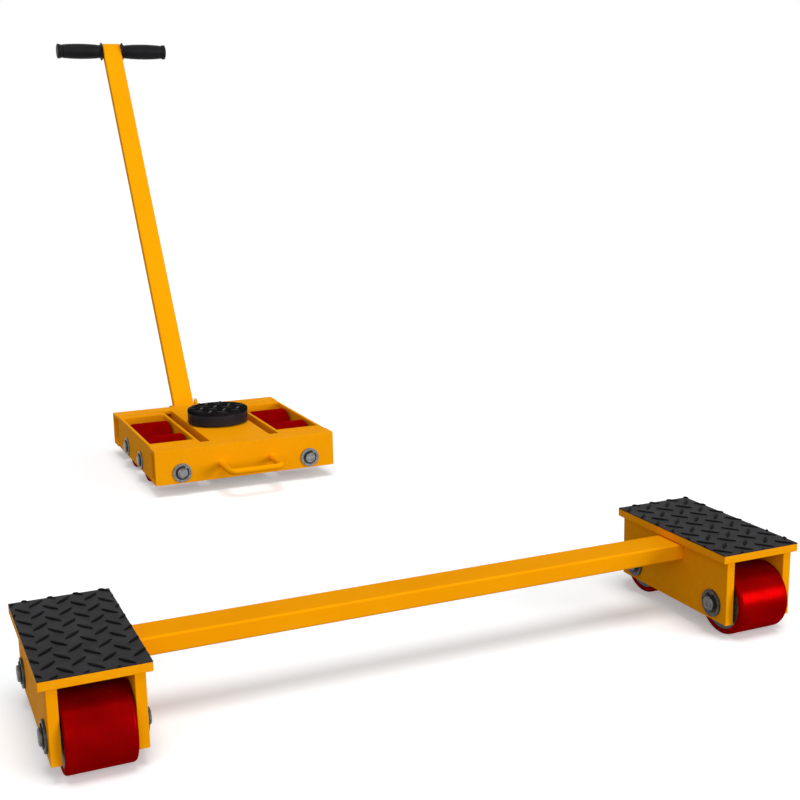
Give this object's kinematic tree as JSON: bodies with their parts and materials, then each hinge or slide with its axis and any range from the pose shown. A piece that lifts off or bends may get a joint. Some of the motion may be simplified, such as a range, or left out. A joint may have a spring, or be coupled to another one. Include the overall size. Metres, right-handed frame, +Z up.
{
  "type": "machine skate set",
  "caption": "Steerable machine skate with turntable and pull handle, with a pair of roller trucks joined by a tie bar.",
  "frame": {"origin": "centre of the whole set's footprint, on the floor", "axes": "+Z up; +Y from the rear skate to the steerable skate and its handle; +X along the tie bar, to the right seen from the rear skate"},
  "size_m": [0.985, 2.1354, 0.9232],
  "materials": {
    "paint": "smooth orange-yellow enamel",
    "tread": "cast polyurethane, deep red, half gloss",
    "rubber": "moulded black rubber",
    "black_steel": "black enamel",
    "axle": "turned steel",
    "hub": "dark turned steel",
    "bearing": "ground bearing steel",
    "zinc": "dull zinc plating",
    "clip": "black phosphate"
  },
  "bodies": {
    "front_frame": {"front_crossmember": "paint", "rear_crossmember": "paint", "deck": "paint", "carry_handle": "paint", "hitch_ears": "paint", "hitch_pin": "zinc", "rocker_pins": "axle", "rocker_washers": "zinc", "rocker_circlips": "clip", "thrust_lower_race": "bearing"},
    "turntable": {"turntable_plate": "black_steel", "turntable_pad": "rubber", "thrust_balls": "bearing", "king_pin": "zinc"},
    "handle": {"handle_tube": "paint", "handle_crossbar": "paint", "handle_grips": "rubber"},
    "tie_bar": {"tie_bar": "paint"},
    "steer_left_truck": {"steer_left_box": "paint", "steer_left_axles": "axle", "steer_left_washers": "zinc", "steer_left_circlips": "clip"},
    "rear_left_truck": {"rear_left_frame": "paint", "rear_left_pad": "rubber", "rear_left_axles": "axle", "rear_left_washers": "zinc", "rear_left_circlips": "clip"},
    "steer_left_front_roller": {"steer_left_front_tread": "tread", "steer_left_front_hub": "hub", "steer_left_front_bearings": "bearing"},
    "steer_left_rear_roller": {"steer_left_rear_tread": "tread", "steer_left_rear_hub": "hub", "steer_left_rear_bearings": "bearing"},
    "rear_left_front_roller": {"rear_left_front_tread": "tread", "rear_left_front_hub": "hub", "rear_left_front_bearings": "bearing"},
    "rear_left_rear_roller": {"rear_left_rear_tread": "tread", "rear_left_rear_hub": "hub", "rear_left_rear_bearings": "bearing"},
    "steer_right_truck": {"steer_right_box": "paint", "steer_right_axles": "axle", "steer_right_washers": "zinc", "steer_right_circlips": "clip"},
    "rear_right_truck": {"rear_right_frame": "paint", "rear_right_pad": "rubber", "rear_right_axles": "axle", "rear_right_washers": "zinc", "rear_right_circlips": "clip"},
    "steer_right_front_roller": {"steer_right_front_tread": "tread", "steer_right_front_hub": "hub", "steer_right_front_bearings": "bearing"},
    "steer_right_rear_roller": {"steer_right_rear_tread": "tread", "steer_right_rear_hub": "hub", "steer_right_rear_bearings": "bearing"},
    "rear_right_front_roller": {"rear_right_front_tread": "tread", "rear_right_front_hub": "hub", "rear_right_front_bearings": "bearing"},
    "rear_right_rear_roller": {"rear_right_rear_tread": "tread", "rear_right_rear_hub": "hub", "rear_right_rear_bearings": "bearing"}
  },
  "joints": [
    {"name": "turntable_spin", "type": "hinge", "parent": "front_frame", "child": "turntable", "pos_m": [0.0405, 0.17432, 0.095], "axis": [0, 0, 1], "continuous": true},
    {"name": "left_rock", "type": "hinge", "parent": "front_frame", "child": "steer_left_truck", "pos_m": [-0.0885, 0.17432, 0.045], "axis": [0, 1, 0], "range_deg": [-5, 5]},
    {"name": "right_rock", "type": "hinge", "parent": "front_frame", "child": "steer_right_truck", "pos_m": [0.1695, 0.17432, 0.045], "axis": [0, 1, 0], "range_deg": [-5, 5]},
    {"name": "handle_tilt", "type": "hinge", "parent": "front_frame", "child": "handle", "pos_m": [0.0405, 0.46832, 0.0615], "axis": [-1, 0, 0], "range_deg": [-34.5, 50]},
    {"name": "rear_set_place", "type": "slide", "parent": "front_frame", "child": "tie_bar", "axis": [0, 1, 0], "range_m": [-0.4, 0.4]},
    {"name": "rear_left_slide", "type": "slide", "parent": "tie_bar", "child": "rear_left_truck", "axis": [-1, 0, 0], "range_m": [0, 0.045]},
    {"name": "rear_right_slide", "type": "slide", "parent": "tie_bar", "child": "rear_right_truck", "axis": [1, 0, 0], "range_m": [0, 0.045]},
    {"name": "steer_left_front_spin", "type": "hinge", "parent": "steer_left_truck", "child": "steer_left_front_roller", "pos_m": [-0.0885, 0.11032, 0.045], "axis": [1, 0, 0], "continuous": true},
    {"name": "steer_left_rear_spin", "type": "hinge", "parent": "steer_left_truck", "child": "steer_left_rear_roller", "pos_m": [-0.0885, 0.23832, 0.045], "axis": [1, 0, 0], "continuous": true},
    {"name": "steer_right_front_spin", "type": "hinge", "parent": "steer_right_truck", "child": "steer_right_front_roller", "pos_m": [0.1695, 0.11032, 0.045], "axis": [1, 0, 0], "continuous": true},
    {"name": "steer_right_rear_spin", "type": "hinge", "parent": "steer_right_truck", "child": "steer_right_rear_roller", "pos_m": [0.1695, 0.23832, 0.045], "axis": [1, 0, 0], "continuous": true},
    {"name": "rear_left_front_spin", "type": "hinge", "parent": "rear_left_truck", "child": "rear_left_front_roller", "pos_m": [-0.4325, -1.02268, 0.045], "axis": [1, 0, 0], "continuous": true},
    {"name": "rear_left_rear_spin", "type": "hinge", "parent": "rear_left_truck", "child": "rear_left_rear_roller", "pos_m": [-0.4325, -0.84468, 0.045], "axis": [1, 0, 0], "continuous": true},
    {"name": "rear_right_front_spin", "type": "hinge", "parent": "rear_right_truck", "child": "rear_right_front_roller", "pos_m": [0.4325, -1.02268, 0.045], "axis": [1, 0, 0], "continuous": true},
    {"name": "rear_right_rear_spin", "type": "hinge", "parent": "rear_right_truck", "child": "rear_right_rear_roller", "pos_m": [0.4325, -0.84468, 0.045], "axis": [1, 0, 0], "continuous": true}
  ]
}
